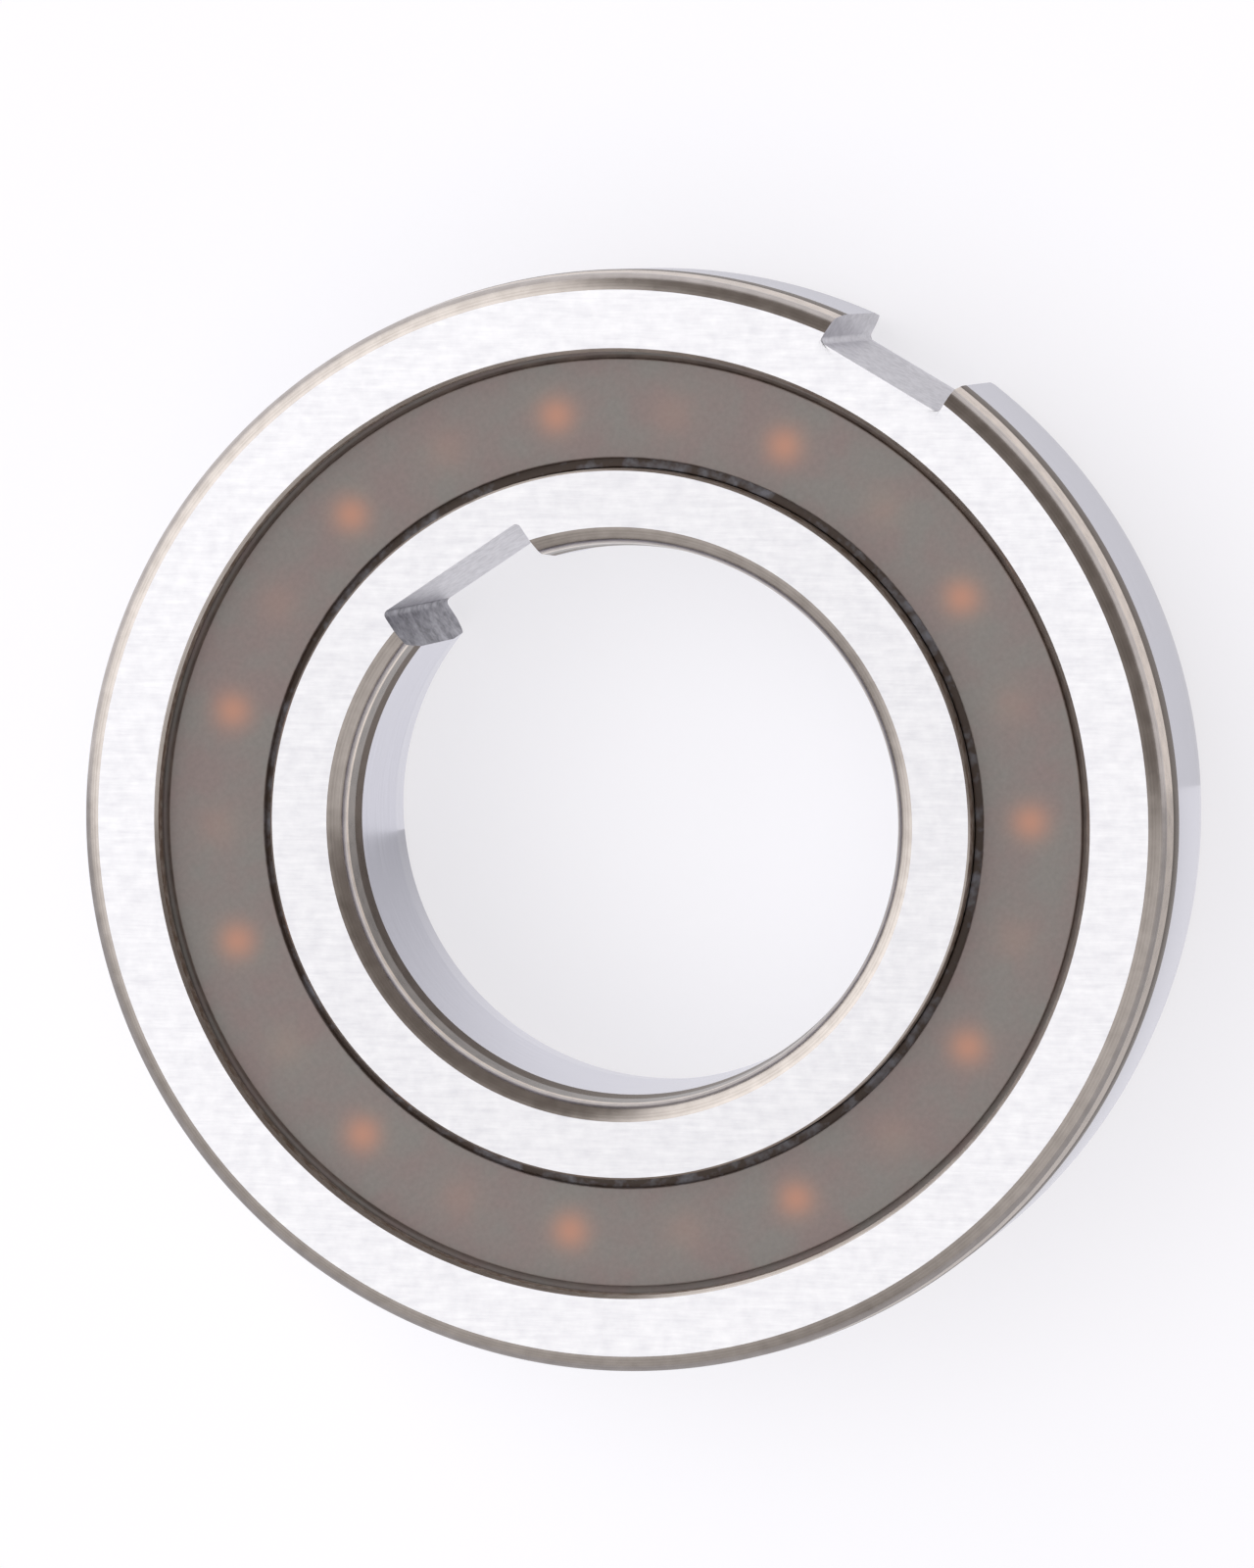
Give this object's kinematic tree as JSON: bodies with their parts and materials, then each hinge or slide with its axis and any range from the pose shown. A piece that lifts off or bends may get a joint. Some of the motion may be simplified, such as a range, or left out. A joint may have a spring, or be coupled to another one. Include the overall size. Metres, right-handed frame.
{
  "type": "sprag clutch",
  "caption": "Bearing-type one-way clutch: a keyed inner ring turns freely one way in a keyed outer ring and is locked the other way by sprags.",
  "frame": {"origin": "centre of the clutch, on the bore's axis, halfway between the two faces", "axes": "+Z along the bore's axis, out of the front face; +Y through the middle of the inner ring's keyway at rest; +X completes the right-handed frame"},
  "size_m": [0.08, 0.08, 0.022],
  "materials": {
    "ring_steel": "ground bearing steel",
    "shield_resin": "matte grey-brown resin",
    "ball_steel": "polished bearing steel",
    "sprag_steel": "tumbled hardened steel",
    "cage_polyamide": "moulded glass-filled polyamide",
    "spring_wire": "drawn spring wire"
  },
  "bodies": {
    "outer_ring": {"outer_ring": "ring_steel", "front_shield": "shield_resin", "rear_shield": "shield_resin"},
    "inner_ring": {"inner_ring": "ring_steel"},
    "cage": {"cage": "cage_polyamide", "front_garter_spring": "spring_wire", "rear_garter_spring": "spring_wire"},
    "ball_01": {"ball_01": "ball_steel"},
    "ball_02": {"ball_02": "ball_steel"},
    "ball_03": {"ball_03": "ball_steel"},
    "ball_04": {"ball_04": "ball_steel"},
    "ball_05": {"ball_05": "ball_steel"},
    "ball_06": {"ball_06": "ball_steel"},
    "ball_07": {"ball_07": "ball_steel"},
    "ball_08": {"ball_08": "ball_steel"},
    "ball_09": {"ball_09": "ball_steel"},
    "ball_10": {"ball_10": "ball_steel"},
    "ball_11": {"ball_11": "ball_steel"},
    "sprag_01": {"sprag_01": "sprag_steel"},
    "sprag_02": {"sprag_02": "sprag_steel"},
    "sprag_03": {"sprag_03": "sprag_steel"},
    "sprag_04": {"sprag_04": "sprag_steel"},
    "sprag_05": {"sprag_05": "sprag_steel"},
    "sprag_06": {"sprag_06": "sprag_steel"},
    "sprag_07": {"sprag_07": "sprag_steel"},
    "sprag_08": {"sprag_08": "sprag_steel"},
    "sprag_09": {"sprag_09": "sprag_steel"},
    "sprag_10": {"sprag_10": "sprag_steel"},
    "sprag_11": {"sprag_11": "sprag_steel"}
  },
  "joints": [
    {"name": "inner_ring_turn", "type": "hinge", "parent": "outer_ring", "child": "inner_ring", "pos_m": [0, 0, 0], "axis": [0, 0, 1], "range_deg": [0, 360]},
    {"name": "cage_orbit", "type": "hinge", "parent": "outer_ring", "child": "cage", "pos_m": [0, 0, 0], "axis": [0, 0, 1], "range_deg": [0, 152]},
    {"name": "ball_01_spin", "type": "hinge", "parent": "cage", "child": "ball_01", "pos_m": [0.02985, 0, 0], "axis": [0, 0, 1], "range_deg": [-1101, 0]},
    {"name": "ball_02_spin", "type": "hinge", "parent": "cage", "child": "ball_02", "pos_m": [0.02511, 0.01614, 0], "axis": [0, 0, 1], "range_deg": [-1101, 0]},
    {"name": "ball_03_spin", "type": "hinge", "parent": "cage", "child": "ball_03", "pos_m": [0.0124, 0.02715, 0], "axis": [0, 0, 1], "range_deg": [-1101, 0]},
    {"name": "ball_04_spin", "type": "hinge", "parent": "cage", "child": "ball_04", "pos_m": [-0.00425, 0.02955, 0], "axis": [0, 0, 1], "range_deg": [-1101, 0]},
    {"name": "ball_05_spin", "type": "hinge", "parent": "cage", "child": "ball_05", "pos_m": [-0.01955, 0.02256, 0], "axis": [0, 0, 1], "range_deg": [-1101, 0]},
    {"name": "ball_06_spin", "type": "hinge", "parent": "cage", "child": "ball_06", "pos_m": [-0.02864, 0.00841, 0], "axis": [0, 0, 1], "range_deg": [-1101, 0]},
    {"name": "ball_07_spin", "type": "hinge", "parent": "cage", "child": "ball_07", "pos_m": [-0.02864, -0.00841, 0], "axis": [0, 0, 1], "range_deg": [-1101, 0]},
    {"name": "ball_08_spin", "type": "hinge", "parent": "cage", "child": "ball_08", "pos_m": [-0.01955, -0.02256, 0], "axis": [0, 0, 1], "range_deg": [-1101, 0]},
    {"name": "ball_09_spin", "type": "hinge", "parent": "cage", "child": "ball_09", "pos_m": [-0.00425, -0.02955, 0], "axis": [0, 0, 1], "range_deg": [-1101, 0]},
    {"name": "ball_10_spin", "type": "hinge", "parent": "cage", "child": "ball_10", "pos_m": [0.0124, -0.02715, 0], "axis": [0, 0, 1], "range_deg": [-1101, 0]},
    {"name": "ball_11_spin", "type": "hinge", "parent": "cage", "child": "ball_11", "pos_m": [0.02511, -0.01614, 0], "axis": [0, 0, 1], "range_deg": [-1101, 0]},
    {"name": "sprag_01_tilt", "type": "hinge", "parent": "cage", "child": "sprag_01", "pos_m": [0.02864, 0.00841, 0], "axis": [0, 0, 1], "range_deg": [-6, 0]},
    {"name": "sprag_02_tilt", "type": "hinge", "parent": "cage", "child": "sprag_02", "pos_m": [0.01955, 0.02256, 0], "axis": [0, 0, 1], "range_deg": [-6, 0]},
    {"name": "sprag_03_tilt", "type": "hinge", "parent": "cage", "child": "sprag_03", "pos_m": [0.00425, 0.02955, 0], "axis": [0, 0, 1], "range_deg": [-6, 0]},
    {"name": "sprag_04_tilt", "type": "hinge", "parent": "cage", "child": "sprag_04", "pos_m": [-0.0124, 0.02715, 0], "axis": [0, 0, 1], "range_deg": [-6, 0]},
    {"name": "sprag_05_tilt", "type": "hinge", "parent": "cage", "child": "sprag_05", "pos_m": [-0.02511, 0.01614, 0], "axis": [0, 0, 1], "range_deg": [-6, 0]},
    {"name": "sprag_06_tilt", "type": "hinge", "parent": "cage", "child": "sprag_06", "pos_m": [-0.02985, 0, 0], "axis": [0, 0, 1], "range_deg": [-6, 0]},
    {"name": "sprag_07_tilt", "type": "hinge", "parent": "cage", "child": "sprag_07", "pos_m": [-0.02511, -0.01614, 0], "axis": [0, 0, 1], "range_deg": [-6, 0]},
    {"name": "sprag_08_tilt", "type": "hinge", "parent": "cage", "child": "sprag_08", "pos_m": [-0.0124, -0.02715, 0], "axis": [0, 0, 1], "range_deg": [-6, 0]},
    {"name": "sprag_09_tilt", "type": "hinge", "parent": "cage", "child": "sprag_09", "pos_m": [0.00425, -0.02955, 0], "axis": [0, 0, 1], "range_deg": [-6, 0]},
    {"name": "sprag_10_tilt", "type": "hinge", "parent": "cage", "child": "sprag_10", "pos_m": [0.01955, -0.02256, 0], "axis": [0, 0, 1], "range_deg": [-6, 0]},
    {"name": "sprag_11_tilt", "type": "hinge", "parent": "cage", "child": "sprag_11", "pos_m": [0.02864, -0.00841, 0], "axis": [0, 0, 1], "range_deg": [-6, 0]}
  ],
  "couplings": [
    {"joint": "cage_orbit", "follows": "inner_ring_turn", "ratio": 0.42023},
    {"joint": "ball_01_spin", "follows": "inner_ring_turn", "ratio": -3.0541},
    {"joint": "ball_02_spin", "follows": "inner_ring_turn", "ratio": -3.0541},
    {"joint": "ball_03_spin", "follows": "inner_ring_turn", "ratio": -3.0541},
    {"joint": "ball_04_spin", "follows": "inner_ring_turn", "ratio": -3.0541},
    {"joint": "ball_05_spin", "follows": "inner_ring_turn", "ratio": -3.0541},
    {"joint": "ball_06_spin", "follows": "inner_ring_turn", "ratio": -3.0541},
    {"joint": "ball_07_spin", "follows": "inner_ring_turn", "ratio": -3.0541},
    {"joint": "ball_08_spin", "follows": "inner_ring_turn", "ratio": -3.0541},
    {"joint": "ball_09_spin", "follows": "inner_ring_turn", "ratio": -3.0541},
    {"joint": "ball_10_spin", "follows": "inner_ring_turn", "ratio": -3.0541},
    {"joint": "ball_11_spin", "follows": "inner_ring_turn", "ratio": -3.0541},
    {"joint": "sprag_02_tilt", "follows": "sprag_01_tilt", "ratio": 1},
    {"joint": "sprag_03_tilt", "follows": "sprag_01_tilt", "ratio": 1},
    {"joint": "sprag_04_tilt", "follows": "sprag_01_tilt", "ratio": 1},
    {"joint": "sprag_05_tilt", "follows": "sprag_01_tilt", "ratio": 1},
    {"joint": "sprag_06_tilt", "follows": "sprag_01_tilt", "ratio": 1},
    {"joint": "sprag_07_tilt", "follows": "sprag_01_tilt", "ratio": 1},
    {"joint": "sprag_08_tilt", "follows": "sprag_01_tilt", "ratio": 1},
    {"joint": "sprag_09_tilt", "follows": "sprag_01_tilt", "ratio": 1},
    {"joint": "sprag_10_tilt", "follows": "sprag_01_tilt", "ratio": 1},
    {"joint": "sprag_11_tilt", "follows": "sprag_01_tilt", "ratio": 1}
  ]
}
